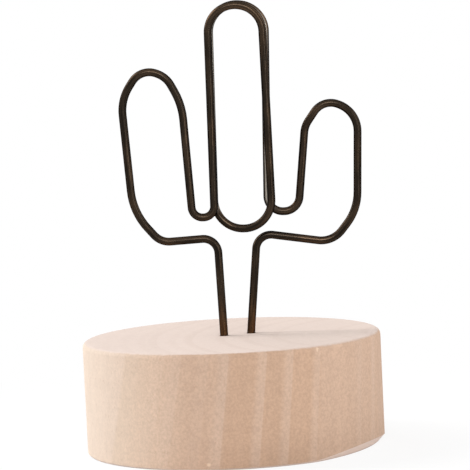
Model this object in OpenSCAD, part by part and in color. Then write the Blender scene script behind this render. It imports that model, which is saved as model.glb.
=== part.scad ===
// Photo clip stand: one bent wire, shaped like a cactus, standing in a round wooden block.
// Millimetres. The block's bottom face lies on z = 0, centred on the z axis. The clip faces -Y.
// Sideways places count from the block's middle, and heights of the wire from the block's top.

/* [Block] */
// Diameter of the wooden block
base_d = 60; // [54:1:70]
// Height of the wooden block
base_h = 22.5; // [19:0.5:28]
// Eased edge round the top and bottom faces
edge_r = 1; // [0.3:0.1:1.5]

/* [Wire] */
// Thickness of the wire
wire_d = 1.6; // [1.3:0.1:1.8]
// Clear gap between the stem's front and back turn, where the photo slips in
turn_gap = 0.6; // [0.5:0.1:1]

/* [Legs] */
// Distance between the two legs where they enter the block
foot_gap = 5.45; // [4.6:0.05:6.4]
// Place of the legs' middle, to the right of the block's middle
foot_mid = 1.3; // [0:0.1:2]
// Outward lean of the left leg in degrees
left_leg_lean = 1.2; // [0:0.1:3]
// Outward lean of the right leg in degrees
right_leg_lean = 6.1; // [4:0.1:8]
// Length of each leg inside the block
leg_depth = 14; // [10:0.5:15]
// Room for glue round each leg
glue_room = 0.2; // [0.1:0.05:0.4]
// Room for glue under each leg's end
glue_under = 1; // [0.5:0.1:2]

/* [Stem] */
// Place of the stem's middle, to the right of the block's middle
stem_mid = 3.6; // [3:0.1:4.2]
// Step of the stem's top to the right of its bottom
stem_shift = 0.1; // [0:0.05:0.3]
// Width of the stem at its top, between strand middles
stem_w = 10.8; // [10:0.1:12]
// Width of the stem at its bottom, between strand middles
stem_low_w = 11.6; // [10.6:0.1:12]
// Height of the stem's top
stem_top = 66.8; // [62:0.1:70]
// Fall of the stem's top from left to right
stem_fall = 1.4; // [0:0.1:1.8]
// Height of the stem's bottom
stem_low = 21.3; // [21:0.1:22.4]
// Step to the right from the front turn's top to the back turn's
turn_step = 0.3; // [0:0.05:0.5]
// Sideways step of the back turn's lower right end, inside the front turn
turn_tuck = 0.9; // [0.4:0.1:1.2]

/* [Arms] */
// Width of each arm, between strand middles
arm_w = 11.85; // [10.5:0.05:13]
// Distance of each elbow inside the arm's outer strand
elbow_in = 5.25; // [4:0.05:6]
// Rise from each elbow to the foot of the arm's outer strand
elbow_rise = 6.3; // [5.4:0.1:7.4]

/* [Left arm] */
// Height of the left shoulder over its leg
left_shoulder_h = 19.8; // [19:0.1:20.4]
// Fall of the left shoulder from its leg to its elbow
left_fall = 0.4; // [0:0.1:1.4]
// Width of the small loop between the stem and the left arm
left_loop_w = 4.4; // [4:0.1:5.4]
// Height of that loop's bottom
left_loop_h = 24; // [23.4:0.1:25.2]
// Outward lean of the left arm's inner strand in degrees
left_inner_lean = 2.6; // [1:0.1:4]
// Outward lean of the left arm's outer strand in degrees
left_outer_lean = 3.2; // [1:0.1:5]
// Height of the left crown's corner, just over the wire's top
left_crown_h = 54.5; // [50:0.1:58]

/* [Right arm] */
// Height of the right shoulder over its leg
right_shoulder_h = 20.2; // [19.6:0.1:20.8]
// Fall of the right shoulder from its leg to its elbow
right_fall = 2.6; // [2:0.1:3.6]
// Width of the small loop between the stem and the right arm
right_loop_w = 6.25; // [5.4:0.05:7]
// Height of that loop's bottom
right_loop_h = 24.3; // [23.6:0.1:25.4]
// Outward lean of the right arm's inner strand in degrees
right_inner_lean = 6.8; // [5:0.1:8]
// Outward lean of the right arm's outer strand in degrees
right_outer_lean = 2.6; // [1:0.1:5]
// Height of the right crown's corner, just over the wire's top
right_crown_h = 46.4; // [43:0.1:50]

/* [Bends] */
// Radius where each leg turns into its shoulder
leg_r = 3; // [2.4:0.1:3.6]
// Radius at the left elbow
left_elbow_r = 4; // [3:0.1:5]
// Radius at the right elbow
right_elbow_r = 5.2; // [3.6:0.1:6.4]
// Radius at the foot of the left arm's outer strand
left_side_r = 13; // [8:0.5:16]
// Radius at the foot of the right arm's outer strand
right_side_r = 10.5; // [8:0.5:14]
// Radius at the top of each arm
crown_r = 4; // [3:0.1:5]
// Radius where an arm's inner strand turns toward its crown
brow_r = 5; // [3.5:0.1:6.5]
// Radius where the left arm's outer strand turns toward its crown
left_brow_r = 9; // [5:0.5:12]
// Radius where the right arm's outer strand turns toward its crown
right_brow_r = 5.8; // [4.4:0.1:7]
// Radius of the long bend from the left crown to its inner strand
neck_r = 14; // [8:0.5:18]
// Radius at each side of the stem's top, which all but meet in a half circle
stem_r = 5.7; // [4.6:0.1:6]

/* [Hidden] */
$fn = 64;
// Every node of the part

// Planes of the two turns
front = -(wire_d + turn_gap) / 2;
back = (wire_d + turn_gap) / 2;
// A bend draws the wire down a hair, so a bend's end lies inside the straight run that it joins
draw_down = 0.01;
// How far each bend reaches into its straight runs
bend_lap = 0.04;
// Shortest straight run left between two bends
least_run = 0.15;
// The glue stops this far below the block's top
glue_dip = 0.4;

// Places along the wire, from the left foot to the right foot
left_foot_x = foot_mid - foot_gap / 2;
right_foot_x = foot_mid + foot_gap / 2;
left_strand_x = stem_mid - stem_low_w / 2;
right_strand_x = stem_mid + stem_low_w / 2;
left_top_x = stem_mid + stem_shift - stem_w / 2;
right_top_x = stem_mid + stem_shift + stem_w / 2;
left_inner_x = left_strand_x - left_loop_w;
left_outer_x = left_inner_x - arm_w;
left_elbow_h = left_shoulder_h - left_fall;
left_side_h = left_elbow_h + elbow_rise;
// The left arm's outer strand turns in this far below the crown's corner
left_brow_h = left_crown_h - 6.2;
left_brow_x = left_outer_x - (left_brow_h - left_side_h) * tan(left_outer_lean);
// The left arm's inner strand turns in lower down, over a long bend
left_neck_h = left_crown_h - 7.7;
left_neck_x = left_inner_x - (left_neck_h - left_loop_h) * tan(left_inner_lean);
right_tuck_x = right_strand_x - turn_tuck;
right_inner_x = right_tuck_x + right_loop_w;
right_outer_x = right_inner_x + arm_w;
right_elbow_h = right_shoulder_h - right_fall;
right_side_h = right_elbow_h + elbow_rise;
right_neck_h = right_crown_h - 5.2;
right_neck_x = right_inner_x + (right_neck_h - right_loop_h) * tan(right_inner_lean);
right_brow_h = right_crown_h - 2.5;
right_brow_x = right_outer_x + (right_brow_h - right_side_h) * tan(right_outer_lean);

// The wire's corners before bending, each with its place and its bend radius
corners = [
  [[left_foot_x + leg_depth * tan(left_leg_lean), front, -leg_depth], 0],
  [[left_foot_x - left_shoulder_h * tan(left_leg_lean), front, left_shoulder_h], leg_r],
  [[left_outer_x + elbow_in, front, left_elbow_h], left_elbow_r],
  [[left_outer_x, front, left_side_h], left_side_r],
  [[left_brow_x, front, left_brow_h], left_brow_r],
  [[left_brow_x + arm_w * 0.36, front, left_crown_h], crown_r],
  [[left_neck_x - arm_w * 0.24, front, left_crown_h - 2.1], brow_r],
  [[left_neck_x, front, left_neck_h], neck_r],
  [[left_inner_x, front, left_loop_h], left_loop_w / 2],
  [[left_strand_x, front, left_loop_h], left_loop_w / 2],
  [[left_top_x, front, stem_top], stem_r],
  [[right_top_x, front, stem_top - stem_fall], stem_r],
  [[right_strand_x, front, stem_low], stem_low_w / 2],
  [[left_strand_x, back, stem_low], stem_low_w / 2],
  [[left_top_x + turn_step, back, stem_top], stem_r],
  [[right_top_x + turn_step * 2.5, back, stem_top - stem_fall + turn_step], stem_r],
  [[right_tuck_x, back, right_loop_h], right_loop_w / 2],
  [[right_inner_x, back, right_loop_h], right_loop_w / 2],
  [[right_neck_x, back, right_neck_h], brow_r],
  [[right_neck_x + arm_w * 0.32, back, right_crown_h], crown_r],
  [[right_brow_x, back, right_brow_h], right_brow_r],
  [[right_outer_x, back, right_side_h], right_side_r],
  [[right_outer_x - elbow_in, back, right_elbow_h], right_elbow_r],
  [[right_foot_x + right_shoulder_h * tan(right_leg_lean), back, right_shoulder_h], leg_r],
  [[right_foot_x - leg_depth * tan(right_leg_lean), back, -leg_depth], 0]
];

// Straight runs and bends worked out from the corners
last = len(corners) - 1;
function corner(i) = corners[i][0];
function unit(v) = v / norm(v);
heading = [for (i = [0:last - 1]) unit(corner(i + 1) - corner(i))];
span = [for (i = [0:last - 1]) norm(corner(i + 1) - corner(i))];
turn = [for (i = [0:last]) i == 0 || i == last ? 0 : acos(heading[i - 1] * heading[i])];
wish = [for (i = [0:last]) corners[i][1] * tan(turn[i] / 2)];
// A bend that has too little room gets the largest radius that fits
fit = [for (i = [0:last - 1]) min(1, (span[i] - least_run) / max(wish[i] + wish[i + 1], 0.001))];
cut = [for (i = [0:last]) i == 0 || i == last ? 0 : wish[i] * min(fit[i - 1], fit[i])];
function bend_radius(i) = cut[i] / tan(turn[i] / 2);
function inward(i) = unit(heading[i] - (heading[i] * heading[i - 1]) * heading[i - 1]);
function bend_middle(i) = corner(i) - heading[i - 1] * cut[i] + inward(i) * bend_radius(i);
function across(v) = unit(cross(v, [0, 1, 0]));
// Frame at a place, with its three axes given
function frame(x, y, z, at) = [
  [x[0], y[0], z[0], at[0]],
  [x[1], y[1], z[1], at[1]],
  [x[2], y[2], z[2], at[2]],
  [0, 0, 0, 1]
];
// Frame whose z axis runs along the wire
function along(v, at) = frame(across(v), cross(v, across(v)), v, at);

// Least gap of the wire to itself, measured on points about 1 mm apart
function run_points(i, long) = [
  for (k = [0:ceil(long)]) corner(i) + heading[i] * (cut[i] + long * k / ceil(long))
];
function bend_points(i, steps) = [
  for (k = [1:steps - 1]) bend_middle(i) + bend_radius(i) * (
    heading[i - 1] * sin(turn[i] * k / steps) - inward(i) * cos(turn[i] * k / steps)
  )
];
points = [
  for (i = [0:last - 1]) each concat(
    i == 0 ? [] : bend_points(i, ceil(turn[i] / 8)),
    run_points(i, span[i] - cut[i] - cut[i + 1])
  )
];
// Points nearer along the wire than this are one stretch of wire, not two
stretch = 4 * wire_d;
steps = [for (k = [1:len(points) - 1]) norm(points[k] - points[k - 1])];
function sums(list, k = 0, total = 0) = k == len(list) ? [total] : concat([total], sums(list, k + 1, total + list[k]));
travel = sums(steps);
least_gap = min([
  for (a = [0:len(points) - 1]) for (b = [a + 1:1:len(points) - 1])
    if (travel[b] - travel[a] > stretch) norm(points[a] - points[b])
]) - wire_d;
echo(wire_length = travel[len(travel) - 1], least_gap_of_the_wire_to_itself = least_gap);

// One straight run of the wire
module straight_run(i) {
  multmatrix(along(heading[i], corner(i) + heading[i] * cut[i]))
    cylinder(d = wire_d, h = span[i] - cut[i] - cut[i + 1]);
}

// One bend, in the plane of the two runs that it joins
module bend(i) {
  lap = bend_lap / bend_radius(i) * 180 / PI;
  multmatrix(frame(-inward(i), heading[i - 1], cross(heading[i - 1], inward(i)), bend_middle(i)))
    rotate([0, 0, -lap])
      rotate_extrude(angle = turn[i] + 2 * lap)
        translate([bend_radius(i), 0])
          circle(d = wire_d - draw_down);
}

// Everything inside stands on the block's top
module on_block() {
  translate([0, 0, base_h])
    children();
}

// Puts a shape at a leg's buried end, with z up along the leg
module at_leg(end) {
  up = end == 0 ? heading[0] : -heading[last - 1];
  on_block()
    multmatrix(along(up, corner(end)))
      children();
}

// Drilled hole for one leg, open at the top
module leg_hole(end) {
  at_leg(end)
    translate([0, 0, -glue_under])
      cylinder(d = wire_d + 2 * glue_room, h = leg_depth + glue_under + 2);
}

// Set glue that fills one hole round its leg
module leg_glue(end) {
  at_leg(end)
    difference() {
      translate([0, 0, -glue_under])
        cylinder(d = wire_d + 2 * glue_room, h = leg_depth + glue_under - glue_dip);
      cylinder(d = wire_d, h = leg_depth + 1);
    }
}

// Round block of wood with eased edges and two drilled holes
module wooden_base() {
  color("BurlyWood")
    difference() {
      rotate_extrude()
        union() {
          square([base_d / 2 - edge_r, base_h]);
          translate([0, edge_r])
            square([base_d / 2, base_h - 2 * edge_r]);
          translate([base_d / 2 - edge_r, edge_r])
            circle(r = edge_r);
          translate([base_d / 2 - edge_r, base_h - edge_r])
            circle(r = edge_r);
        }
      leg_hole(0);
      leg_hole(last);
    }
}

// The whole clip, bent from one wire
module wire_clip() {
  color("DimGray")
    on_block()
      union() {
        for (i = [0:last - 1])
          straight_run(i);
        for (i = [1:last - 1])
          bend(i);
      }
}

module left_leg_glue() {
  color("Wheat")
    leg_glue(0);
}

module right_leg_glue() {
  color("Wheat")
    leg_glue(last);
}

wooden_base();
wire_clip();
left_leg_glue();
right_leg_glue();
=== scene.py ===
"""Photo clip stand: one dark wire bent into a cactus outline, set in a round block of pale wood.

The classes hold lengths in millimetres and angles in degrees, as a maker would give them, and MM turns
millimetres into metres. Sideways places count from the block's middle. Heights count from the floor, and
those of the wire's corners from the block's top.
"""

from __future__ import annotations

import logging
import math
from collections.abc import Callable
from dataclasses import dataclass
from enum import Enum

import bpy
from mathutils import Matrix, Vector


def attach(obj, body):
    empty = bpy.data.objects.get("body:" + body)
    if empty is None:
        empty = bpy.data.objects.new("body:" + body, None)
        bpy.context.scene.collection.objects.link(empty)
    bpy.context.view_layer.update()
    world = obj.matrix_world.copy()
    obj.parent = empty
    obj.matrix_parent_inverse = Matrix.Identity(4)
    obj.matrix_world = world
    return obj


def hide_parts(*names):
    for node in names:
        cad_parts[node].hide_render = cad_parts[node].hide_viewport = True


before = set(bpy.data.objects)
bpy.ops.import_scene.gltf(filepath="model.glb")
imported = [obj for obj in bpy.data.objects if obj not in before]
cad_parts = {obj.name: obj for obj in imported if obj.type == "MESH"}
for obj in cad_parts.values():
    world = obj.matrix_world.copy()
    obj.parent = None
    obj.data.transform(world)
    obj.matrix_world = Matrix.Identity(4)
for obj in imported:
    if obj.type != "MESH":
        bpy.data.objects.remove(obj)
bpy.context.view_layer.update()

Pair = tuple[float, float]
Triple = tuple[float, float, float]
Colour = tuple[float, float, float, float]
Socket = bpy.types.NodeSocket

MM = 0.001
BODY = "root"
# Mesh attribute that holds each point's place on the straightened wire.
RUN = "straight_wire"
# Points closer to a plane than this, in millimetres, lie on it.
NEAR = 0.01
# A face lies level where its normal points up by more than this.
LEVEL = 0.9
log = logging.getLogger("photo_clip_stand")


def tone(red: int, green: int, blue: int) -> Colour:
    """Turns a colour as a screen shows it into the linear values that Blender works with.

    Args:
        red: Red from 0 to 255.
        green: Green from 0 to 255.
        blue: Blue from 0 to 255.

    Returns:
        Linear red, green and blue, with full opacity.
    """
    linear = []
    for value in (red, green, blue):
        part = value / 255
        linear.append(part / 12.92 if part <= 0.04045 else ((part + 0.055) / 1.055) ** 2.4)
    return (linear[0], linear[1], linear[2], 1.0)


class Sum(Enum):
    """Sums that a material works out at each point of a surface."""

    ADD = "ADD"
    SUBTRACT = "SUBTRACT"
    MULTIPLY = "MULTIPLY"
    SIZE = "ABSOLUTE"


class VectorSum(Enum):
    """Sums that a material works out with places."""

    ADD = "ADD"
    MULTIPLY_ADD = "MULTIPLY_ADD"


class Layer(Enum):
    """Ways to lay one colour over another."""

    COVER = "MIX"
    SHADE = "MULTIPLY"


@dataclass(frozen=True)
class Ramp:
    """A smooth change along a range, level outside it.

    Attributes:
        start: Low end of the range.
        end: High end of the range.
        low: Result at the low end.
        high: Result at the high end.
    """

    start: float
    end: float
    low: float = 0.0
    high: float = 1.0

    def in_metres(self) -> Ramp:
        """Gives the same change for a range that is in millimetres here."""
        return Ramp(self.start * MM, self.end * MM, self.low, self.high)


@dataclass(frozen=True)
class Mottle:
    """An unevenness of a surface.

    Attributes:
        stretch: Factor on places along each axis; a small one draws the grains out along that axis.
        grain: Size of the largest grains.
        detail: Number of finer layers.
        fine: Strength of each finer layer, from 0 to 1.
        ramp: What the noise's values become.
    """

    stretch: Triple
    grain: float
    detail: float
    fine: float
    ramp: Ramp = Ramp(0.0, 1.0)


def add_ramp(tree: bpy.types.NodeTree, value: Socket, ramp: Ramp) -> Socket:
    """Adds a node that takes a value along a ramp.

    Args:
        tree: Node tree that it goes in.
        value: Value to take along the ramp.
        ramp: Change to make.

    Returns:
        Output socket of the result.
    """
    node = tree.nodes.new("ShaderNodeMapRange")
    node.interpolation_type = "SMOOTHSTEP"
    tree.links.new(value, node.inputs["Value"])
    node.inputs["From Min"].default_value = ramp.start
    node.inputs["From Max"].default_value = ramp.end
    node.inputs["To Min"].default_value = ramp.low
    node.inputs["To Max"].default_value = ramp.high
    return node.outputs["Result"]


class NodeBoard:
    """One material, with the nodes that feed its shader."""

    def __init__(self, name: str) -> None:
        """Starts a material with an empty shader.

        Args:
            name: Name of the finish.
        """
        self.material = bpy.data.materials.new(name)
        self.material.use_nodes = True
        self.tree = self.material.node_tree
        self.tree.nodes.clear()
        self.shader = self.tree.nodes.new("ShaderNodeBsdfPrincipled")
        output = self.tree.nodes.new("ShaderNodeOutputMaterial")
        self.tree.links.new(self.shader.outputs["BSDF"], output.inputs["Surface"])
        self.place = self.tree.nodes.new("ShaderNodeTexCoord")

    def feed(self, socket: Socket, value: object) -> None:
        """Links a socket to another node's output, or sets it to a plain value.

        Args:
            socket: Socket that takes the value.
            value: Output socket, number, colour or vector.
        """
        if isinstance(value, Socket):
            self.tree.links.new(value, socket)
        else:
            socket.default_value = value

    def spot(self) -> Socket:
        """Gives each point's place on the piece."""
        return self.place.outputs["Object"]

    def facing(self) -> Socket:
        """Gives how far each point of the surface faces up, from -1 to 1."""
        return self.axis(self.place.outputs["Normal"], "Z")

    def carried(self, name: str) -> Socket:
        """Gives a place that the mesh carries for each point.

        Args:
            name: Name of the mesh attribute.

        Returns:
            Output socket of that place.
        """
        node = self.tree.nodes.new("ShaderNodeAttribute")
        node.attribute_name = name
        return node.outputs["Vector"]

    def stretched(self, where: Socket, scale: Triple, shift: Vector | None = None) -> Socket:
        """Stretches a place and then shifts it.

        Args:
            where: Place to change.
            scale: Factor along each axis.
            shift: Shift in metres, or None for no shift.

        Returns:
            Output socket of the changed place.
        """
        node = self.tree.nodes.new("ShaderNodeMapping")
        self.feed(node.inputs["Vector"], where)
        node.inputs["Scale"].default_value = scale
        if shift is not None:
            node.inputs["Location"].default_value = shift
        return node.outputs["Vector"]

    def axis(self, vector: Socket, letter: str) -> Socket:
        """Gives one part of a vector.

        Args:
            vector: Vector to take apart.
            letter: X, Y or Z.

        Returns:
            Output socket of that part.
        """
        node = self.tree.nodes.new("ShaderNodeSeparateXYZ")
        self.feed(node.inputs["Vector"], vector)
        return node.outputs[letter]

    def length(self, vector: Socket) -> Socket:
        """Measures a vector.

        Args:
            vector: Vector to measure.

        Returns:
            Output socket of its length.
        """
        node = self.tree.nodes.new("ShaderNodeVectorMath")
        node.operation = "LENGTH"
        self.feed(node.inputs[0], vector)
        return node.outputs["Value"]

    def sum(self, kind: Sum, first: object, second: object = 0.0) -> Socket:
        """Works out a sum of two values.

        Args:
            kind: Sum to work out.
            first: First value.
            second: Second value, if the sum has one.

        Returns:
            Output socket of the result.
        """
        node = self.tree.nodes.new("ShaderNodeMath")
        node.operation = kind.value
        self.feed(node.inputs[0], first)
        self.feed(node.inputs[1], second)
        return node.outputs[0]

    def vector_sum(self, kind: VectorSum, *places: object) -> Socket:
        """Works out a sum of places.

        Args:
            kind: Sum to work out.
            *places: Places in the order that the sum takes them.

        Returns:
            Output socket of the result.
        """
        node = self.tree.nodes.new("ShaderNodeVectorMath")
        node.operation = kind.value
        for socket, place in zip(node.inputs, places):
            self.feed(socket, place)
        return node.outputs["Vector"]

    def along(self, value: Socket, ramp: Ramp) -> Socket:
        """Takes a value along a ramp, as add_ramp() does."""
        return add_ramp(self.tree, value, ramp)

    def along_mm(self, length: Socket, ramp: Ramp) -> Socket:
        """Takes a length along a ramp whose range is in millimetres."""
        return add_ramp(self.tree, length, ramp.in_metres())

    def noise(self, mottle: Mottle, where: Socket | None = None) -> bpy.types.Node:
        """Adds the plain noise of an unevenness.

        Args:
            mottle: Unevenness to draw.
            where: Place that it reads, or None for the place on the piece.

        Returns:
            The noise node.
        """
        where = self.spot() if where is None else where
        node = self.tree.nodes.new("ShaderNodeTexNoise")
        self.feed(node.inputs["Vector"], self.stretched(where, mottle.stretch))
        node.inputs["Scale"].default_value = 1 / (mottle.grain * MM)
        node.inputs["Detail"].default_value = mottle.detail
        node.inputs["Roughness"].default_value = mottle.fine
        return node

    def uneven(self, mottle: Mottle, where: Socket | None = None) -> Socket:
        """Gives an unevenness as one number, taken along its ramp."""
        return self.along(self.noise(mottle, where).outputs[0], mottle.ramp)

    def layer(self, kind: Layer, share: object, under: object, over: object) -> Socket:
        """Lays one colour over another.

        Args:
            kind: Way to lay it.
            share: Share of the upper colour, from 0 to 1.
            under: Lower colour.
            over: Upper colour.

        Returns:
            Output socket of the colour.
        """
        node = self.tree.nodes.new("ShaderNodeMix")
        node.data_type = "RGBA"
        node.blend_type = kind.value
        self.feed(node.inputs[0], share)
        self.feed(node.inputs[6], under)
        self.feed(node.inputs[7], over)
        return node.outputs[2]

    def relief(self, height: Socket, strength: float, depth: float) -> None:
        """Gives the surface a fine relief.

        Args:
            height: Height from 0 to 1.
            strength: Strength from 0 to 1.
            depth: Depth of the relief in millimetres.
        """
        node = self.tree.nodes.new("ShaderNodeBump")
        node.inputs["Strength"].default_value = strength
        node.inputs["Distance"].default_value = depth * MM
        self.feed(node.inputs["Height"], height)
        self.feed(self.shader.inputs["Normal"], node.outputs["Normal"])


@dataclass(frozen=True)
class GrowthRing:
    """One pale growth ring.

    Attributes:
        distance: Distance from the pith.
        clear: How clearly it shows, from 0 to 1.
    """

    distance: float
    clear: float


@dataclass(frozen=True)
class WoodFinish:
    """Raw pale wood: end grain on the flat faces, upright grain round the side.

    Rings, heartwood and sapwood are placed by their distance from the pith, which stands outside the block
    and leans. The ramps named for a side run from left to right across the block.
    """

    # Growth of the tree.
    pith: Pair = (37.0, -5.0)
    lean: float = 7.6
    wander: float = 1.6
    wandering: Mottle = Mottle((1, 1, 0.12), 26.0, 2.0, 0.5)
    growth: tuple[GrowthRing, ...] = (
        GrowthRing(11.0, 0.6),
        GrowthRing(16.8, 0.45),
        GrowthRing(29.0, 0.65),
        GrowthRing(34.9, 0.7),
        GrowthRing(39.8, 0.75),
        GrowthRing(46.3, 0.85),
        GrowthRing(49.6, 0.35),
        GrowthRing(53.6, 0.6),
        GrowthRing(55.9, 0.35),
        GrowthRing(59.4, 0.3),
        GrowthRing(63.0, 0.2),
    )
    ring_rise: Pair = (-0.1, 0.15)
    ring_fall: Pair = (0.9, 2.3)

    # Upright grain.
    side_tone: Colour = tone(193, 163, 141)
    dark_tone: Colour = tone(189, 157, 133)
    ring_tone: Colour = tone(196, 168, 148)
    # Partly sapwood and partly painted light: the left of the side is paler and less saturated, as the lamp
    # at the left makes it look.
    sap_and_painted_light_tone: Colour = tone(225, 207, 188)
    fleck_tone: Colour = tone(175, 140, 114)
    dark_from: Ramp = Ramp(28.2, 30.2)
    dark_to: Ramp = Ramp(45.3, 47.3, 1.0, 0.0)
    sap_and_painted_light_side: Ramp = Ramp(-31.5, -6.0, 0.8, 0.0)
    heartwood: Ramp = Ramp(61.2, 61.7, 1.0, 0.0)
    heartwood_edge: Ramp = Ramp(57.6, 61.2, 1.0, 0.94)
    sapwood: Ramp = Ramp(61.2, 61.7)
    sapwood_tint: Colour = (0.975, 0.99, 1.025, 1.0)
    streak: Mottle = Mottle((1, 1, 0.02), 3.2, 4.0, 0.5, Ramp(0.3, 0.7, 0.98, 1.02))
    turned: Mottle = Mottle((0.05, 0.05, 1), 0.6, 3.0, 0.6, Ramp(0.3, 0.7, 0.988, 1.012))
    mottle: Mottle = Mottle((1, 1, 0.6), 1.3, 2.0, 0.5, Ramp(0.3, 0.7, 0.98, 1.02))
    fibre: Mottle = Mottle((1, 1, 0.95), 0.5, 3.0, 0.65, Ramp(0.3, 0.7, 0.92, 1.08))
    fibre_side: Ramp = Ramp(-30.6, -13.5, 0.3, 1.0)
    fleck: Mottle = Mottle((1, 1, 0.4), 0.4, 1.0, 0.5, Ramp(0.64, 0.76, 0.0, 0.25))
    # Painted shade: the front and right grow darker towards the foot, standing in for the block's shadow on
    # the floor beside them.
    painted_light_by_height: Ramp = Ramp(0.0, 8.0, 0.92, 1.0)
    painted_shade_side: Ramp = Ramp(-9.0, 9.0)

    # End grain.
    end_tone: Colour = tone(216, 199, 189)
    end_ring_tone: Colour = tone(205, 186, 175)
    end_ring_share: float = 0.42
    cloud: Mottle = Mottle((1, 1, 1), 14.0, 3.0, 0.5, Ramp(0.3, 0.7, 0.985, 1.015))
    pore: Mottle = Mottle((1, 1, 1), 0.7, 4.0, 0.65, Ramp(0.3, 0.7, 0.97, 1.03))

    # Rims, foot, chips and surface.
    top_fall: Ramp = Ramp(-0.4, -0.03)
    torn: Mottle = Mottle((1, 1, 0.15), 0.8, 3.0, 0.6, Ramp(0.3, 0.7, -0.05, 0.05))
    crisp_side: Ramp = Ramp(-17.0, -7.0, 1.2, 2.0)
    soft_side: Ramp = Ramp(-2.0, 20.0, 1.0, 0.5)
    # Painted light: the rounding under the top rim is lightened towards the right, standing in for bounce
    # light on it.
    rim_painted_light: Ramp = Ramp(0.1, 0.5, 1.0, 1.07)
    rim_painted_light_side: Ramp = Ramp(-2.0, 20.0)
    foot_tone: Colour = tone(222, 202, 190)
    foot_fall: Ramp = Ramp(-0.65, -0.4, 1.0, 0.0)
    chip_tone: Colour = tone(220, 193, 168)
    chip_fade: Ramp = Ramp(0.3, 1.15, 1.0, 0.0)
    # Painted shade: the lowest half millimetre is darkened, standing in for the contact shadow along the
    # bottom edge.
    painted_contact_shade: Ramp = Ramp(0.05, 0.5, 0.82, 1.0)
    rough: Mottle = Mottle((1, 1, 0.1), 1.2, 2.0, 0.5, Ramp(0.3, 0.7, 0.68, 0.84))
    shine: float = 0.25
    tooth: Mottle = Mottle((1, 1, 0.3), 0.45, 3.0, 0.5)
    tooth_strength: float = 0.3
    tooth_depth: float = 0.05

    def pith_distance(self, board: NodeBoard, block: WoodenBlock) -> Socket:
        """Measures each point's distance from the pith.

        Args:
            board: Material to draw on.
            block: Block whose middle the lean turns about.

        Returns:
            Output socket of the distance in metres, along rings that wander a little.
        """
        slope = math.tan(math.radians(self.lean))
        centre = self.wander / 2
        shift = Vector((slope * block.height / 2 - self.pith[0] - centre, -self.pith[1] - centre, 0)) * MM
        flat = board.stretched(board.spot(), (1, 1, 0), shift)
        noise = board.noise(self.wandering).outputs["Color"]
        reach = Vector((self.wander, self.wander, 0)) * MM
        wandered = board.vector_sum(VectorSum.MULTIPLY_ADD, noise, reach, flat)
        leaned = board.tree.nodes.new("ShaderNodeCombineXYZ")
        board.feed(leaned.inputs["X"], board.sum(Sum.MULTIPLY, board.axis(board.spot(), "Z"), -slope))
        return board.length(board.vector_sum(VectorSum.ADD, wandered, leaned.outputs["Vector"]))

    def rings(self, board: NodeBoard, far: Socket) -> Socket:
        """Draws the pale growth rings, each crisp toward the pith and soft away from it.

        Args:
            board: Material to draw on.
            far: Distance from the pith.

        Returns:
            Output socket of the rings, from 0 to 1.
        """
        whole: Socket | None = None
        for ring in self.growth:
            rise = (ring.distance + part for part in self.ring_rise)
            fall = (ring.distance + part for part in self.ring_fall)
            band = board.sum(
                Sum.MULTIPLY,
                board.along_mm(far, Ramp(*rise, 0.0, ring.clear)),
                board.along_mm(far, Ramp(*fall, 1.0, 0.0)),
            )
            whole = band if whole is None else board.sum(Sum.ADD, whole, band)
        return whole

    def side_colour(self, board: NodeBoard, far: Socket, rings: Socket) -> Socket:
        """Colours the upright grain, with painted shade towards the foot at the front and right, and paler
        wood at the left that is partly sapwood and partly painted light.

        Args:
            board: Material to colour.
            far: Distance from the pith.
            rings: Growth rings.

        Returns:
            Output socket of the colour.
        """
        across = board.axis(board.spot(), "X")
        dark = board.sum(
            Sum.MULTIPLY, board.along_mm(far, self.dark_from), board.along_mm(far, self.dark_to)
        )
        colour = board.layer(Layer.COVER, dark, self.side_tone, self.dark_tone)
        colour = board.layer(Layer.COVER, rings, colour, self.ring_tone)
        # Paler wood at the left: partly sapwood, partly painted light from the lamp on that side.
        colour = board.layer(Layer.COVER, board.along_mm(across, self.sap_and_painted_light_side), colour, self.sap_and_painted_light_tone)
        for mottle in (self.streak, self.turned, self.mottle):
            colour = board.layer(Layer.SHADE, 1.0, colour, board.uneven(mottle))
        coarse = board.along_mm(across, self.fibre_side)
        colour = board.layer(Layer.SHADE, coarse, colour, board.uneven(self.fibre))
        colour = board.layer(Layer.COVER, board.uneven(self.fleck), colour, self.fleck_tone)
        inside = board.along_mm(far, self.heartwood)
        colour = board.layer(Layer.SHADE, inside, colour, board.along_mm(far, self.heartwood_edge))
        colour = board.layer(Layer.SHADE, board.along_mm(far, self.sapwood), colour, self.sapwood_tint)
        # Painted shade: darker towards the foot at the front and right, where the floor beside the block lies
        # in its shadow.
        painted_light_by_height = board.along_mm(board.axis(board.spot(), "Z"), self.painted_light_by_height)
        return board.layer(Layer.SHADE, board.along_mm(across, self.painted_shade_side), colour, painted_light_by_height)

    def end_colour(self, board: NodeBoard, rings: Socket) -> Socket:
        """Colours the end grain.

        Args:
            board: Material to colour.
            rings: Growth rings.

        Returns:
            Output socket of the colour.
        """
        share = board.sum(Sum.MULTIPLY, rings, self.end_ring_share)
        colour = board.layer(Layer.COVER, share, self.end_tone, self.end_ring_tone)
        for mottle in (self.cloud, self.pore):
            colour = board.layer(Layer.SHADE, 1.0, colour, board.uneven(mottle))
        return colour

    def chipped_colour(self, board: NodeBoard, colour: Socket, block: WoodenBlock) -> Socket:
        """Lets fresh pale wood show in the block's chips.

        Args:
            board: Material to colour.
            colour: Colour of the wood round the chips.
            block: Block with the chips.

        Returns:
            Output socket of the colour.
        """
        for chip in block.chips:
            scale = Vector((1 / chip.width, 1 / chip.width, 1 / chip.length)) / MM
            near = board.length(board.stretched(board.spot(), tuple(scale), -block.chip_place(chip) * scale))
            colour = board.layer(Layer.COVER, board.along(near, self.chip_fade), colour, self.chip_tone)
        return colour

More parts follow.
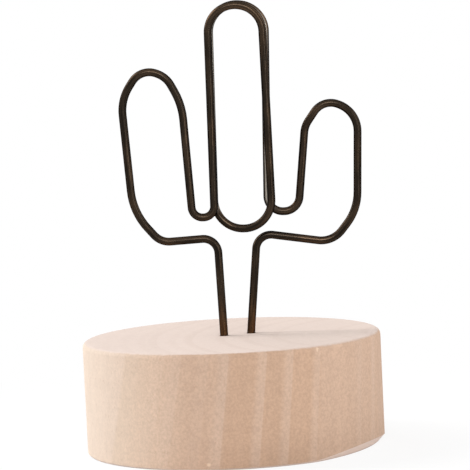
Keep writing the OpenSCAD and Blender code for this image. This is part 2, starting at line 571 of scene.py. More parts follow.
    def top_share(self, board: NodeBoard, across: Socket) -> Socket:
        """Finds the end grain of the top, which ends crisply at the left and softly at the right.

        Args:
            board: Material to draw on.
            across: Place from left to right.

        Returns:
            Output socket of the share, from 0 to 1.
        """
        crisp = board.sum(
            Sum.MULTIPLY, board.along_mm(across, self.crisp_side), board.along_mm(across, self.soft_side)
        )
        fall = board.sum(Sum.MULTIPLY, board.sum(Sum.ADD, board.facing(), -1.0), crisp)
        return board.along(board.sum(Sum.ADD, fall, board.uneven(self.torn)), self.top_fall)

    def material(self, block: WoodenBlock) -> bpy.types.Material:
        """Makes the finish.

        Args:
            block: Block that it goes on.

        Returns:
            The material.
        """
        board = NodeBoard("raw_pale_wood")
        across = board.axis(board.spot(), "X")
        far = self.pith_distance(board, block)
        rings = self.rings(board, far)
        side = self.side_colour(board, far, rings)
        # Painted light: the rim's rounding is made paler towards the right, where it turns upwards.
        rim_painted_light = board.along(board.facing(), self.rim_painted_light)
        side = board.layer(Layer.SHADE, board.along_mm(across, self.rim_painted_light_side), side, rim_painted_light)
        top = self.top_share(board, across)
        colour = board.layer(Layer.COVER, top, side, self.end_colour(board, rings))
        foot = board.along(board.facing(), self.foot_fall)
        colour = board.layer(Layer.COVER, foot, colour, self.foot_tone)
        colour = self.chipped_colour(board, colour, block)
        # Painted shade: darker along the bottom edge, as a contact shadow.
        painted_contact_shade = board.along_mm(board.axis(board.spot(), "Z"), self.painted_contact_shade)
        board.feed(board.shader.inputs["Base Color"], board.layer(Layer.SHADE, 1.0, colour, painted_contact_shade))
        board.feed(board.shader.inputs["Roughness"], board.uneven(self.rough))
        board.shader.inputs["Specular IOR Level"].default_value = self.shine
        board.relief(board.noise(self.tooth).outputs[0], self.tooth_strength, self.tooth_depth)
        return board.material


@dataclass(frozen=True)
class WireFinish:
    """Near-black bronze patina on drawn steel wire, satin, with lengthwise lines.

    It is painted browner above the block, as a painted reflection of the warm wood, and painted paler on
    level runs and on the stem's crown, as painted light, and on the faces between the stem's two turns, as a
    painted highlight. The slot's depth gives its results in metres.
    """

    dark_tone: Colour = tone(38, 31, 24)
    brown_tone: Colour = tone(55, 43, 32)
    # Painted reflection: the warm brown of the wood, which the legs reflect near the block.
    wood_reflection_tone: Colour = tone(74, 51, 31)
    # Painted highlight: the pale grey of the back turn's edge between the stem's two turns.
    slot_highlight_tone: Colour = tone(148, 140, 130)
    edge_tint: Colour = (0.04, 0.035, 0.03, 1.0)
    patch: Mottle = Mottle((1, 1, 0.35), 2.6, 4.0, 0.5, Ramp(0.42, 0.72))
    line: Mottle = Mottle((1, 1, 0.03), 0.22, 2.0, 0.5, Ramp(0.3, 0.7, 0.5, 1.6))
    speck: Mottle = Mottle((1, 1, 1), 0.2, 2.0, 0.5, Ramp(0.3, 0.7, 0.78, 1.24))
    wood_reflection: Ramp = Ramp(22.5, 33.0, 0.8, 0.0)
    # Painted light: level runs are made paler where they face up or down, standing in for the floor and lamps
    # that they reflect.
    level: Ramp = Ramp(0.15, 0.5, 1.0, 1.5)
    # Painted light: the stem's crown is made paler towards its top, standing in for light from above.
    painted_light_by_height: Ramp = Ramp(80.0, 88.0, 1.0, 1.45)
    slot_low: Ramp = Ramp(47.0, 50.0)
    slot_left: Ramp = Ramp(-3.7, -3.5)
    slot_right: Ramp = Ramp(11.3, 11.5, 1.0, 0.0)
    slot_deep: Ramp = Ramp(1.9, 5.9, 0.66 * MM, 0.43 * MM)
    slot_edge: Ramp = Ramp(-0.06, 0.06, 1.0, 0.0)
    satin: Ramp = Ramp(0.25, 0.75, 0.2, 0.3)
    coat: float = 0.08
    coat_satin: float = 0.2
    relief_strength: float = 0.2
    relief_depth: float = 0.02

    def slot_highlight_share(self, board: NodeBoard) -> Socket:
        """Finds the faces between the stem's two turns, where a highlight is painted.

        Args:
            board: Material to draw on.

        Returns:
            Output socket of the share, from 0 to 1.
        """
        across, deep, up = (board.axis(board.spot(), letter) for letter in "XYZ")
        limit = board.along_mm(across, self.slot_deep)
        past = board.sum(Sum.SUBTRACT, board.sum(Sum.SIZE, deep), limit)
        share = board.along_mm(up, self.slot_low)
        for length, ramp in ((past, self.slot_edge), (across, self.slot_left), (across, self.slot_right)):
            share = board.sum(Sum.MULTIPLY, share, board.along_mm(length, ramp))
        return share

    def material(self) -> bpy.types.Material:
        """Makes the finish, which follows the wire as if it were straight.

        Returns:
            The material.
        """
        board = NodeBoard("dark_bronze_wire")
        run = board.carried(RUN)
        up = board.axis(board.spot(), "Z")
        line = board.noise(self.line, run).outputs[0]
        speck = board.noise(self.speck, run).outputs[0]
        colour = board.layer(Layer.COVER, board.uneven(self.patch, run), self.dark_tone, self.brown_tone)
        # Painted reflection: the wire grows browner towards the block, as if reflecting the wood.
        colour = board.layer(Layer.COVER, board.along_mm(up, self.wood_reflection), colour, self.wood_reflection_tone)
        # Painted light: paler where the surface faces up or down.
        level = board.along(board.sum(Sum.SIZE, board.facing()), self.level)
        colour = board.layer(Layer.SHADE, 1.0, colour, level)
        # Painted light: the stem's crown is made paler towards its top.
        colour = board.layer(Layer.SHADE, 1.0, colour, board.along_mm(up, self.painted_light_by_height))
        # Painted highlight on the back turn's faces between the stem's two turns.
        colour = board.layer(Layer.COVER, self.slot_highlight_share(board), colour, self.slot_highlight_tone)
        colour = board.layer(Layer.SHADE, 1.0, colour, board.along(line, self.line.ramp))
        colour = board.layer(Layer.SHADE, 1.0, colour, board.along(speck, self.speck.ramp))
        board.feed(board.shader.inputs["Base Color"], colour)
        board.feed(board.shader.inputs["Roughness"], board.along(speck, self.satin))
        board.shader.inputs["Metallic"].default_value = 1.0
        board.shader.inputs["Specular Tint"].default_value = self.edge_tint
        board.shader.inputs["Coat Weight"].default_value = self.coat
        board.shader.inputs["Coat Roughness"].default_value = self.coat_satin
        board.relief(board.sum(Sum.ADD, line, speck), self.relief_strength, self.relief_depth)
        return board.material


@dataclass(frozen=True)
class GlueFinish:
    """Clear yellowish wood glue, set hard."""

    dark_tone: Colour = tone(214, 192, 150)
    pale_tone: Colour = tone(230, 212, 176)
    cloud: Mottle = Mottle((1, 1, 1), 0.8, 2.0, 0.5, Ramp(0.35, 0.65))
    gloss: Ramp = Ramp(0.0, 1.0, 0.25, 0.4)

    def material(self) -> bpy.types.Material:
        """Makes the finish.

        Returns:
            The material.
        """
        board = NodeBoard("set_wood_glue")
        cloud = board.uneven(self.cloud)
        colour = board.layer(Layer.COVER, cloud, self.dark_tone, self.pale_tone)
        board.feed(board.shader.inputs["Base Color"], colour)
        board.feed(board.shader.inputs["Roughness"], board.along(cloud, self.gloss))
        return board.material


def deselect_all() -> None:
    """Leaves nothing selected, the CAD nodes included."""
    if bpy.context.object is not None and bpy.context.object.mode != "OBJECT":
        bpy.ops.object.mode_set(mode="OBJECT")
    bpy.ops.object.select_all(action="DESELECT")


def pick_piece(piece: bpy.types.Object) -> None:
    """Selects one piece alone and makes it the active one.

    Args:
        piece: Piece to select.
    """
    deselect_all()
    piece.select_set(True)
    bpy.context.view_layer.objects.active = piece


def pick_faces(piece: bpy.types.Object, wanted: Callable[[bpy.types.MeshPolygon], bool]) -> None:
    """Goes into edit mode with only some faces of a piece selected.

    Args:
        piece: Active mesh object.
        wanted: Says whether a face is selected.
    """
    bpy.ops.object.mode_set(mode="EDIT")
    bpy.ops.mesh.select_mode(type="FACE")
    bpy.ops.mesh.select_all(action="DESELECT")
    bpy.ops.object.mode_set(mode="OBJECT")
    for face in piece.data.polygons:
        face.select = wanted(face)
    bpy.ops.object.mode_set(mode="EDIT")


def settle(piece: bpy.types.Object) -> None:
    """Moves a piece's place into its mesh, so that its object sits at the origin.

    Args:
        piece: Selected piece.
    """
    bpy.ops.object.transform_apply(location=True, rotation=True, scale=True)
    piece.data.update()


def turned_to(direction: Vector) -> Triple:
    """Gives the rotation about X, Y and Z, in radians, that turns +Z to a direction."""
    return tuple(Vector((0, 0, 1)).rotation_difference(direction).to_euler())


@dataclass
class WireClip:
    """The clip: one wire from the left foot, round the arms and twice round the stem, to the right foot.

    Drops count down from a crown, and the sizes named for a share are shares of an arm's width.
    """

    # Legs and stem.
    wire: float = 1.6
    turn_gap: float = 0.6
    foot_gap: float = 5.45
    foot_mid: float = 1.3
    left_leg_lean: float = 1.2
    right_leg_lean: float = 6.1
    leg_depth: float = 14.0
    stem_mid: float = 3.6
    stem_shift: float = 0.1
    stem_width: float = 10.8
    stem_low_width: float = 11.6
    stem_top: float = 66.8
    stem_fall: float = 1.4
    stem_low: float = 21.3
    turn_step: float = 0.3
    turn_fan: float = 2.5
    turn_tuck: float = 0.9

    # Arms.
    arm_width: float = 11.85
    elbow_in: float = 5.25
    elbow_rise: float = 6.3
    left_shoulder: float = 19.8
    left_fall: float = 0.4
    left_loop_width: float = 4.4
    left_loop: float = 24.0
    left_inner_lean: float = 2.6
    left_outer_lean: float = 3.2
    left_crown: float = 54.5
    left_crown_share: float = 0.36
    left_brow_drop: float = 6.2
    left_cheek_share: float = 0.24
    left_cheek_drop: float = 2.1
    left_neck_drop: float = 7.7
    right_shoulder: float = 20.2
    right_fall: float = 2.6
    right_loop_width: float = 6.25
    right_loop: float = 24.3
    right_inner_lean: float = 6.8
    right_outer_lean: float = 2.6
    right_crown: float = 46.4
    right_crown_share: float = 0.32
    right_neck_drop: float = 5.2
    right_brow_drop: float = 2.5

    # Bend radii.
    leg_bend: float = 3.0
    left_elbow_bend: float = 4.0
    right_elbow_bend: float = 5.2
    left_side_bend: float = 13.0
    right_side_bend: float = 10.5
    crown_bend: float = 4.0
    brow_bend: float = 5.0
    left_brow_bend: float = 9.0
    right_brow_bend: float = 5.8
    neck_bend: float = 14.0
    stem_bend: float = 5.7

    # Route and mesh.
    block_top: float = 22.5
    least_run: float = 0.15
    sides: int = 28
    bend_step: float = 5.0
    least_steps: int = 3
    merge: float = 0.001
    smooth_angle: float = 40.0

    def corners(self) -> list[tuple[Vector, float]]:
        """Works out the wire's corners before bending.

        Returns:
            Each corner's place and bend radius, in metres.
        """
        front = -(self.wire + self.turn_gap) / 2
        back = -front
        lean = {
            name: math.tan(math.radians(angle))
            for name, angle in vars(self).items()
            if name.endswith("_lean")
        }
        left_foot = self.foot_mid - self.foot_gap / 2
        right_foot = self.foot_mid + self.foot_gap / 2
        left_strand = self.stem_mid - self.stem_low_width / 2
        right_strand = self.stem_mid + self.stem_low_width / 2
        left_top = self.stem_mid + self.stem_shift - self.stem_width / 2
        right_top = self.stem_mid + self.stem_shift + self.stem_width / 2
        low_top = self.stem_top - self.stem_fall
        low_bend = self.stem_low_width / 2
        left_inner = left_strand - self.left_loop_width
        left_outer = left_inner - self.arm_width
        left_elbow = self.left_shoulder - self.left_fall
        left_side = left_elbow + self.elbow_rise
        left_brow = self.left_crown - self.left_brow_drop
        left_brow_x = left_outer - (left_brow - left_side) * lean["left_outer_lean"]
        left_neck = self.left_crown - self.left_neck_drop
        left_neck_x = left_inner - (left_neck - self.left_loop) * lean["left_inner_lean"]
        left_crown_x = left_brow_x + self.left_crown_share * self.arm_width
        left_cheek = self.left_crown - self.left_cheek_drop
        left_cheek_x = left_neck_x - self.left_cheek_share * self.arm_width
        left_shoulder_x = left_foot - self.left_shoulder * lean["left_leg_lean"]
        right_tuck = right_strand - self.turn_tuck
        right_inner = right_tuck + self.right_loop_width
        right_outer = right_inner + self.arm_width
        right_elbow = self.right_shoulder - self.right_fall
        right_side = right_elbow + self.elbow_rise
        right_neck = self.right_crown - self.right_neck_drop
        right_neck_x = right_inner + (right_neck - self.right_loop) * lean["right_inner_lean"]
        right_crown_x = right_neck_x + self.right_crown_share * self.arm_width
        right_brow = self.right_crown - self.right_brow_drop
        right_brow_x = right_outer + (right_brow - right_side) * lean["right_outer_lean"]
        right_shoulder_x = right_foot + self.right_shoulder * lean["right_leg_lean"]
        left_loop_bend = self.left_loop_width / 2
        right_loop_bend = self.right_loop_width / 2
        rows = [
            (left_foot + self.leg_depth * lean["left_leg_lean"], front, -self.leg_depth, 0.0),
            (left_shoulder_x, front, self.left_shoulder, self.leg_bend),
            (left_outer + self.elbow_in, front, left_elbow, self.left_elbow_bend),
            (left_outer, front, left_side, self.left_side_bend),
            (left_brow_x, front, left_brow, self.left_brow_bend),
            (left_crown_x, front, self.left_crown, self.crown_bend),
            (left_cheek_x, front, left_cheek, self.brow_bend),
            (left_neck_x, front, left_neck, self.neck_bend),
            (left_inner, front, self.left_loop, left_loop_bend),
            (left_strand, front, self.left_loop, left_loop_bend),
            (left_top, front, self.stem_top, self.stem_bend),
            (right_top, front, low_top, self.stem_bend),
            (right_strand, front, self.stem_low, low_bend),
            (left_strand, back, self.stem_low, low_bend),
            (left_top + self.turn_step, back, self.stem_top, self.stem_bend),
            (right_top + self.turn_fan * self.turn_step, back, low_top + self.turn_step, self.stem_bend),
            (right_tuck, back, self.right_loop, right_loop_bend),
            (right_inner, back, self.right_loop, right_loop_bend),
            (right_neck_x, back, right_neck, self.brow_bend),
            (right_crown_x, back, self.right_crown, self.crown_bend),
            (right_brow_x, back, right_brow, self.right_brow_bend),
            (right_outer, back, right_side, self.right_side_bend),
            (right_outer - self.elbow_in, back, right_elbow, self.right_elbow_bend),
            (right_shoulder_x, back, self.right_shoulder, self.leg_bend),
            (right_foot - self.leg_depth * lean["right_leg_lean"], back, -self.leg_depth, 0.0),
        ]
        return [(Vector((x, y, z + self.block_top)) * MM, bend * MM) for x, y, z, bend in rows]

    def legs(self) -> list[tuple[Vector, Vector]]:
        """Finds the two legs.

        Returns:
            Each leg's buried end and the direction up along it.
        """
        places = [place for place, _ in self.corners()]
        return [
            (places[0], (places[1] - places[0]).normalized()),
            (places[-1], (places[-2] - places[-1]).normalized()),
        ]

    def build(self) -> bpy.types.Object:
        """Draws a ring of wire up from the left foot, along each run and round each bend.

        Returns:
            The clip's mesh object.
        """
        corners = self.corners()
        places = [place for place, _ in corners]
        last = len(corners) - 1
        runs = [places[i + 1] - places[i] for i in range(last)]
        heading = [run.normalized() for run in runs]
        turns = [0.0] + [heading[i - 1].angle(heading[i]) for i in range(1, last)] + [0.0]
        wish = [corners[i][1] * math.tan(turns[i] / 2) for i in range(last + 1)]
        room = [
            min(1.0, (runs[i].length - self.least_run * MM) / max(wish[i] + wish[i + 1], MM * MM))
            for i in range(last)
        ]
        cut = [0.0] + [wish[i] * min(room[i - 1], room[i]) for i in range(1, last)] + [0.0]

        deselect_all()
        bpy.ops.mesh.primitive_circle_add(
            vertices=self.sides, radius=self.wire / 2 * MM, location=places[0], rotation=turned_to(heading[0])
        )
        clip = bpy.context.object
        clip.name = clip.data.name = "bent_wire"
        settle(clip)
        bpy.ops.object.mode_set(mode="EDIT")
        bpy.ops.mesh.select_mode(type="EDGE")
        bpy.ops.mesh.select_all(action="SELECT")
        for i in range(last):
            reach = heading[i] * (runs[i].length - cut[i] - cut[i + 1])
            bpy.ops.mesh.extrude_edges_move(TRANSFORM_OT_translate={"value": reach})
            if i + 1 < last:
                inward = (heading[i + 1] - heading[i] * heading[i].dot(heading[i + 1])).normalized()
                radius = cut[i + 1] / math.tan(turns[i + 1] / 2)
                bpy.ops.mesh.spin(
                    steps=max(self.least_steps, math.ceil(math.degrees(turns[i + 1]) / self.bend_step)),
                    angle=-turns[i + 1],
                    center=places[i + 1] - heading[i] * cut[i + 1] + inward * radius,
                    axis=heading[i].cross(inward),
                )
        self.close_wire()
        self.mark_run(clip)
        return clip

    def close_wire(self) -> None:
        """Joins the drawn rings in edit mode, caps both ends, turns the faces outwards and smooths them."""
        bpy.ops.mesh.select_all(action="SELECT")
        bpy.ops.mesh.remove_doubles(threshold=self.merge * MM)
        bpy.ops.mesh.select_all(action="DESELECT")
        bpy.ops.mesh.select_non_manifold()
        bpy.ops.mesh.fill_holes(sides=0)
        bpy.ops.mesh.select_all(action="SELECT")
        bpy.ops.mesh.normals_make_consistent(inside=False)
        bpy.ops.object.mode_set(mode="OBJECT")
        bpy.ops.object.shade_smooth_by_angle(angle=math.radians(self.smooth_angle))

    def mark_run(self, clip: bpy.types.Object) -> None:
        """Gives each point its place on the straightened wire, so that the finish can follow the bends.

        Args:
            clip: The clip's mesh object, with its points in rings from foot to foot.
        """
        run = clip.data.attributes.new(RUN, "FLOAT_VECTOR", "POINT")
        points = clip.data.vertices
        radius = self.wire / 2 * MM
        gone = 0.0
        before: Vector | None = None
        for first in range(0, len(points), self.sides):
            ring = [points[first + k].co for k in range(self.sides)]
            middle = sum(ring, Vector()) / self.sides
            gone += (middle - before).length if before is not None else 0.0
            before = middle
            for k in range(self.sides):
                turn = 2 * math.pi * k / self.sides
                run.data[first + k].vector = (radius * math.cos(turn), radius * math.sin(turn), gone)

    def dress(self, clip: bpy.types.Object, finish: WireFinish) -> None:
        """Gives the clip its finish and its place in the model.

        Args:
            clip: The clip's mesh object.
            finish: Finish of the wire.
        """
        clip.data.materials.append(finish.material())
        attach(clip, BODY)
        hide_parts("wire_clip")


@dataclass(frozen=True)
class Chip:
    """A small chip near a rim.

    Attributes:
        azimuth: Degrees round from the front, to the right.
        height: Height of its middle above the floor.
        width: Half its width.
        depth: Half its depth.
        length: Half its height.
    """

    azimuth: float
    height: float
    width: float
    depth: float
    length: float


@dataclass
class WoodenBlock:
    """Round block sawn across the grain, with edges eased by hand and two drilled holes."""

    diameter: float = 60.0
    height: float = 22.5
    facets: int = 480
    smooth_angle: float = 25.0
    edge: float = 1.0
    edge_steps: int = 9
    support: float = 0.5
    foot_edge: float = 0.3
    foot_sanded: float = 1.7
    sanded_from: float = 32.0
    sanded_to: float = 98.0
    sanded_rise: float = 0.2
    rim_wear: float = 0.07
    wear_grain: float = 0.7
    hole: float = 2.0
    hole_facets: int = 48
    hole_below: float = 1.0
    drill_above: float = 3.0
    chips: tuple[Chip, ...] = (Chip(-10.5, 1.1, 0.55, 0.15, 0.45), Chip(33.4, 22.1, 0.42, 0.15, 0.9))
    chip_detail: int = 3

    def build(self, clip: WireClip) -> bpy.types.Object:
        """Shapes the block from a cylinder and drills it for the clip's legs.

        Args:
            clip: Clip whose legs it takes.

        Returns:
            The block's mesh object.
        """
        deselect_all()
        bpy.ops.mesh.primitive_cylinder_add(
            vertices=self.facets,
            radius=self.diameter / 2 * MM,
            depth=self.height * MM,
            location=(0, 0, self.height / 2 * MM),
            end_fill_type="NGON",
        )
        block = bpy.context.object
        block.name = block.data.name = "wood_block"
        settle(block)
        self.ease_edges(block)
        self.sand_foot(block)
        self.wear_rim(block)
        for chip in self.chips:
            self.knock_out(block, chip)
        for foot, up in clip.legs():
            start = foot - up * self.hole_below * MM
            self.drill(block, start, up, clip.leg_depth + self.hole_below + self.drill_above)
        pick_piece(block)
        bpy.ops.object.shade_smooth_by_angle(angle=math.radians(self.smooth_angle))
        return block

    def ease_edges(self, block: bpy.types.Object) -> None:
        """Rounds the top rim and adds a support ring inside the top face.

        Args:
            block: Plain cylinder.
        """
        pick_faces(block, lambda face: face.normal.z > LEVEL)
        bpy.ops.mesh.region_to_loop()
        bpy.ops.mesh.bevel(offset=self.edge * MM, segments=self.edge_steps, affect="EDGES")
        pick_faces(block, lambda face: face.normal.z > LEVEL and len(face.vertices) == self.facets)
        bpy.ops.mesh.inset(thickness=self.support * MM, depth=0)
        bpy.ops.object.mode_set(mode="OBJECT")

    def sand_foot(self, block: bpy.types.Object) -> None:
        """Breaks the bottom rim lightly, and sands it away further up the side at the right front.

        Args:
            block: Block with a sharp bottom rim.
        """
        share = block.data.attributes.new("bevel_weight_edge", "FLOAT", "EDGE")
        least = self.foot_edge / self.foot_sanded
        for edge in block.data.edges:
            one, other = (block.data.vertices[index].co for index in edge.vertices)
            if max(one.z, other.z) < NEAR * MM:
                share.data[edge.index].value = least + (1 - least) * self.sanded_share(one + other)
        sand = block.modifiers.new("sand", "BEVEL")
        sand.limit_method = "WEIGHT"
        sand.width = self.foot_sanded * MM
        sand.segments = 1
        sand.use_clamp_overlap = False
        bpy.ops.object.modifier_apply(modifier=sand.name)
        group = block.vertex_groups.new(name="sanded")
        for point in block.data.vertices:
            if NEAR * MM < point.co.z < 2 * self.foot_sanded * MM:
                group.add([point.index], self.sanded_share(point.co), "REPLACE")
        rise = block.modifiers.new("rise", "DISPLACE")
        rise.direction = "Z"
        rise.vertex_group = group.name
        rise.mid_level = 0.0
        rise.strength = self.sanded_rise * MM
        bpy.ops.object.modifier_apply(modifier=rise.name)

    def sanded_share(self, place: Vector) -> float:
        """Says how far the foot is sanded away in a direction from the middle.

        Args:
            place: Place in that direction.

        Returns:
            1 at the middle of the sanded stretch, and 0 outside it.
        """
        middle, reach = (self.sanded_from + self.sanded_to) / 2, (self.sanded_to - self.sanded_from) / 2
        least = math.cos(math.radians(reach))
        turn = math.atan2(place.x, -place.y) - math.radians(middle)
        return max(0.0, (math.cos(turn) - least) / (1 - least))

    def wear_rim(self, block: bpy.types.Object) -> None:
        """Wears the rounded top rim a little unevenly.

        Args:
            block: Block with its rounded rim.
        """
        group = block.vertex_groups.new(name="rim")
        for point in block.data.vertices:
            out = math.hypot(point.co.x, point.co.y) / MM - (self.diameter / 2 - self.edge)
            up = point.co.z / MM - (self.height - self.edge)
            if out > NEAR and up > NEAR:
                group.add([point.index], math.sin(2 * math.atan2(up, out)), "REPLACE")
        grain = bpy.data.textures.new("rim_wear", "CLOUDS")
        grain.noise_scale = self.wear_grain * MM
        wear = block.modifiers.new("wear", "DISPLACE")
        wear.texture = grain
        wear.vertex_group = group.name
        wear.mid_level = 1.0
        wear.strength = self.rim_wear * MM
        bpy.ops.object.modifier_apply(modifier=wear.name)
        bpy.data.textures.remove(grain)

    def chip_place(self, chip: Chip) -> Vector:
        """Finds the middle of a chip.

        Args:
            chip: Chip to find.

        Returns:
            Its place in metres.
        """
        turn = math.radians(chip.azimuth)
        half = self.diameter / 2
        return Vector((half * math.sin(turn), -half * math.cos(turn), chip.height)) * MM

    def knock_out(self, block: bpy.types.Object, chip: Chip) -> None:
        """Knocks one chip out of the block.

        Args:
            block: Block to mark.
            chip: Chip to knock out.
        """
        deselect_all()
        bpy.ops.mesh.primitive_ico_sphere_add(
            subdivisions=self.chip_detail,
            radius=MM,
            location=self.chip_place(chip),
            rotation=(0, 0, math.radians(chip.azimuth)),
            scale=(chip.width, chip.depth, chip.length),
        )
        tool = bpy.context.object
        settle(tool)
        self.cut_away(block, tool)

    def drill(self, block: bpy.types.Object, start: Vector, up: Vector, long: float) -> None:
        """Drills one hole.

        Args:
            block: Block to drill.
            start: Bottom of the hole.
            up: Direction out of the hole.
            long: Length of the drill in millimetres.
        """
        deselect_all()
        bpy.ops.mesh.primitive_cylinder_add(
            vertices=self.hole_facets,
            radius=self.hole / 2 * MM,
            depth=long * MM,
            location=start + up * long / 2 * MM,
            rotation=turned_to(up),
        )
        tool = bpy.context.object
        settle(tool)
        self.cut_away(block, tool)

    def cut_away(self, block: bpy.types.Object, tool: bpy.types.Object) -> None:
        """Cuts a tool's shape out of the block and puts the tool away.

        Args:
            block: Block to cut.
            tool: Mesh object that is cut out.
        """
        pick_piece(block)
        cut = block.modifiers.new("cut", "BOOLEAN")
        cut.operation = "DIFFERENCE"
        cut.solver = "EXACT"
        cut.object = tool
        bpy.ops.object.modifier_apply(modifier=cut.name)
        bpy.data.objects.remove(tool)

    def dress(self, block: bpy.types.Object, finish: WoodFinish) -> None:
        """Gives the block its finish and its place in the model.

        Args:
            block: The block's mesh object.
            finish: Finish of the wood.
        """
        block.data.materials.append(finish.material(self))
        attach(block, BODY)
        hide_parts("wooden_base")


@dataclass
class LegGlue:
    """Set glue in the two holes, which keeps its CAD shape."""

    nodes: tuple[str, str] = ("left_leg_glue", "right_leg_glue")

    def dress(self, finish: GlueFinish) -> None:
        """Gives the glue its finish.

        Args:
            finish: Finish of the glue.
        """
        material = finish.material()
        for name in self.nodes:
            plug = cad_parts[name]
            plug.data.materials.clear()
            plug.data.materials.append(material)
            log.info("%s keeps its CAD shape", name)


@dataclass(frozen=True)
class SoftLight:
    """A soft light that faces the object.

    Attributes:
        name: Name of the light.
        azimuth: Degrees round from the front, to the right.
        height: Degrees up from the floor.
        far: Distance from the object.
        size: Width and height of the light.
        power: Power in watts.
    """

    name: str
    azimuth: float
    height: float
    far: float
    size: Pair
    power: float


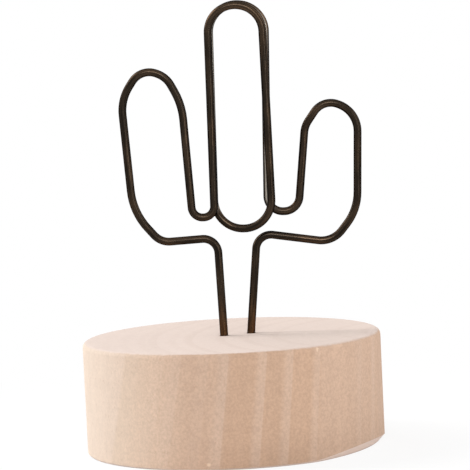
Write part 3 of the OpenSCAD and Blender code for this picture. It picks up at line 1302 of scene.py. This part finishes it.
@dataclass
class Studio:
    """White studio with soft lights at the left, back left, front and right, and the photograph's camera."""

    # Camera.
    distance: float = 550.0
    eye_height: float = 88.4
    pitch: float = 4.763
    yaw: float = 0.18
    roll: float = 2.77
    focal_pixels: float = 2746.5
    picture: float = 470.0
    sensor: float = 36.0
    nearest: float = 10.0

    # Lights, background and floor.
    lights: tuple[SoftLight, ...] = (
        SoftLight("left_softbox", -102, 34, 1100, (173, 943), 5.9),
        SoftLight("right_strip", 33, 6, 600, (100, 280), 0.55),
        SoftLight("right_card", 96, 20, 800, (500, 500), 2.0),
        SoftLight("back_softbox", -130, 40, 600, (500, 200), 1.6),
        SoftLight("front_softbox", 3, 24, 520, (170, 120), 0.7),
    )
    aim_height: float = 40.0
    sky: float = 0.5
    floor_size: float = 8000.0
    floor_drop: float = 0.02
    floor_colour: Colour = (0.95, 0.95, 0.95, 1.0)
    floor_fade: Ramp = Ramp(32.0, 120.0, 0.85, 1.0)

    def place_camera(self) -> None:
        """Sets the camera where the photograph was taken from."""
        swing, tip, tilt = (math.radians(value) for value in (self.yaw, self.pitch, self.roll))
        right = Vector((math.cos(swing), -math.sin(swing), 0))
        ahead = Vector((math.sin(swing) * math.cos(tip), math.cos(swing) * math.cos(tip), -math.sin(tip)))
        above = right.cross(ahead)
        camera_x = math.cos(tilt) * right - math.sin(tilt) * above
        camera_y = math.sin(tilt) * right + math.cos(tilt) * above
        turn = Matrix((camera_x, camera_y, -ahead)).transposed().to_4x4()
        eye = Vector((0, -self.distance, self.eye_height)) * MM
        deselect_all()
        bpy.ops.object.camera_add()
        camera = bpy.context.object
        camera.matrix_world = Matrix.Translation(eye) @ turn
        camera.data.sensor_width = self.sensor
        camera.data.lens = self.sensor * self.focal_pixels / self.picture
        camera.data.clip_start = self.nearest * MM
        bpy.context.scene.camera = camera

    def hang_light(self, light: SoftLight) -> None:
        """Hangs one light and turns it to the object.

        Args:
            light: Light to hang.
        """
        swing, rise = math.radians(light.azimuth), math.radians(light.height)
        flat = math.cos(rise)
        toward = Vector((math.sin(swing) * flat, -math.cos(swing) * flat, math.sin(rise)))
        aim = Vector((0, 0, self.aim_height * MM))
        deselect_all()
        bpy.ops.object.light_add(type="AREA", location=aim + toward * light.far * MM)
        lamp = bpy.context.object
        lamp.name = light.name
        lamp.rotation_euler = toward.to_track_quat("Z", "Y").to_euler()
        lamp.data.shape = "RECTANGLE"
        lamp.data.size = light.size[0] * MM
        lamp.data.size_y = light.size[1] * MM
        lamp.data.energy = light.power

    def seen_rays(self, tree: bpy.types.NodeTree) -> Socket:
        """Picks the rays that see the white studio: straight from the camera, or by way of metal or glass.

        Args:
            tree: Node tree of the background or the floor.

        Returns:
            Output socket that is 1 for these rays, and otherwise 0.
        """
        path = tree.nodes.new("ShaderNodeLightPath")
        seen = path.outputs["Is Camera Ray"]
        for name in ("Is Glossy Ray", "Is Transmission Ray"):
            either = tree.nodes.new("ShaderNodeMath")
            either.operation = "MAXIMUM"
            tree.links.new(seen, either.inputs[0])
            tree.links.new(path.outputs[name], either.inputs[1])
            seen = either.outputs[0]
        return seen

    def light(self) -> None:
        """Hangs the lights and sets a white background, which lights the object by the sky's level alone."""
        for light in self.lights:
            self.hang_light(light)
        world = bpy.data.worlds.new("white_studio")
        bpy.context.scene.world = world
        world.use_nodes = True
        tree = world.node_tree
        tree.nodes.clear()
        white = tree.nodes.new("ShaderNodeBackground")
        white.inputs["Color"].default_value = (1, 1, 1, 1)
        level = add_ramp(tree, self.seen_rays(tree), Ramp(0.0, 1.0, self.sky, 1.0))
        tree.links.new(level, white.inputs["Strength"])
        output = tree.nodes.new("ShaderNodeOutputWorld")
        tree.links.new(white.outputs["Background"], output.inputs["Surface"])

    def lay_floor(self) -> None:
        """Lays a white floor that keeps the object's shadow and melts into the white background."""
        deselect_all()
        bpy.ops.mesh.primitive_plane_add(size=self.floor_size * MM, location=(0, 0, -self.floor_drop * MM))
        floor = bpy.context.object
        floor.name = floor.data.name = "white_floor"
        material = bpy.data.materials.new("white_floor")
        material.use_nodes = True
        tree = material.node_tree
        tree.nodes.clear()
        matt = tree.nodes.new("ShaderNodeBsdfDiffuse")
        matt.inputs["Color"].default_value = self.floor_colour
        glow = tree.nodes.new("ShaderNodeEmission")
        place = tree.nodes.new("ShaderNodeTexCoord")
        far = tree.nodes.new("ShaderNodeVectorMath")
        far.operation = "LENGTH"
        tree.links.new(place.outputs["Object"], far.inputs[0])
        share = tree.nodes.new("ShaderNodeMath")
        share.operation = "MULTIPLY"
        fade = add_ramp(tree, far.outputs["Value"], self.floor_fade.in_metres())
        tree.links.new(fade, share.inputs[0])
        tree.links.new(self.seen_rays(tree), share.inputs[1])
        mix = tree.nodes.new("ShaderNodeMixShader")
        tree.links.new(share.outputs[0], mix.inputs["Fac"])
        tree.links.new(matt.outputs["BSDF"], mix.inputs[1])
        tree.links.new(glow.outputs["Emission"], mix.inputs[2])
        output = tree.nodes.new("ShaderNodeOutputMaterial")
        tree.links.new(mix.outputs["Shader"], output.inputs["Surface"])
        floor.data.materials.append(material)


def main() -> None:
    """Builds the pieces in order, dresses them and sets the studio round them."""
    logging.basicConfig(level=logging.INFO, format="%(name)s: %(message)s")
    studio = Studio()
    studio.place_camera()
    clip = WireClip()
    wire = clip.build()
    clip.dress(wire, WireFinish())
    log.info("%s: %d faces", wire.name, len(wire.data.polygons))
    block = WoodenBlock()
    wood = block.build(clip)
    block.dress(wood, WoodFinish())
    log.info("%s: %d faces", wood.name, len(wood.data.polygons))
    LegGlue().dress(GlueFinish())
    studio.light()
    studio.lay_floor()
    bpy.context.scene.view_settings.view_transform = "Standard"


if __name__ == "__main__":
    main()
